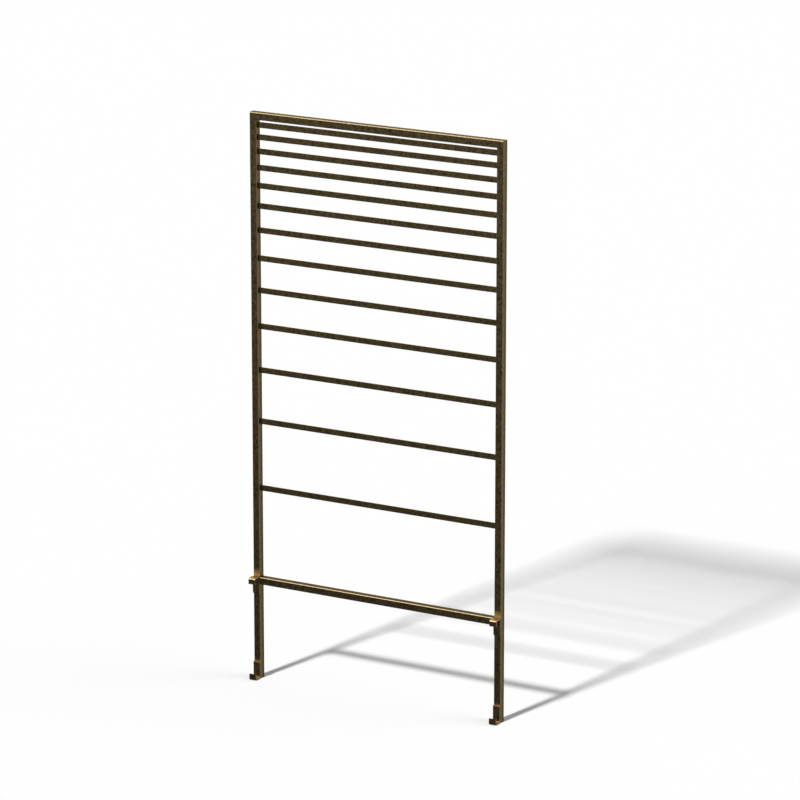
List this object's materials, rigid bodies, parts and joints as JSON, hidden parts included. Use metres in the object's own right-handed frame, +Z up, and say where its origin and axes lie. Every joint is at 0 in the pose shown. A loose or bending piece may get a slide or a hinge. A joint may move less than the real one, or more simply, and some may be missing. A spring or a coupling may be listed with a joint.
{
  "type": "garden trellis",
  "caption": "Tall welded metal trellis: a square-tube frame with flat crossbars whose gaps widen downwards, and hooks at rim and foot that hold it to the back of a planter box.",
  "frame": {"origin": "middle of the whole outline at ground level", "axes": "+Z up; +X to the trellis's right seen from the front, from post to post; -Y to the front, the way the hooks reach"},
  "size_m": [0.94, 0.0574, 1.93],
  "materials": {
    "bronze_coat": "antique bronze coat on steel, finely hammered, satin metallic sheen, edges rubbed to a lighter gold bronze",
    "coated_weld": "weld beads under the same antique bronze coat, rippled",
    "plug_plastic": "black moulded polyethylene, matt"
  },
  "bodies": {
    "root": {"bar_01": "bronze_coat", "bar_02": "bronze_coat", "bar_03": "bronze_coat", "bar_04": "bronze_coat", "bar_05": "bronze_coat", "bar_06": "bronze_coat", "bar_07": "bronze_coat", "bar_08": "bronze_coat", "bar_09": "bronze_coat", "bar_10": "bronze_coat", "bar_11": "bronze_coat", "bar_12": "bronze_coat", "bar_13": "bronze_coat", "foot_hook_left": "bronze_coat", "foot_hook_right": "bronze_coat", "lower_rail": "bronze_coat", "post_left": "bronze_coat", "post_right": "bronze_coat", "rim_hook_left": "bronze_coat", "rim_hook_right": "bronze_coat", "top_rail": "bronze_coat", "bar_welds_left": "coated_weld", "bar_welds_right": "coated_weld", "hook_welds": "coated_weld", "rail_welds": "coated_weld", "post_plug_left": "plug_plastic", "post_plug_right": "plug_plastic"}
  },
  "joints": []
}
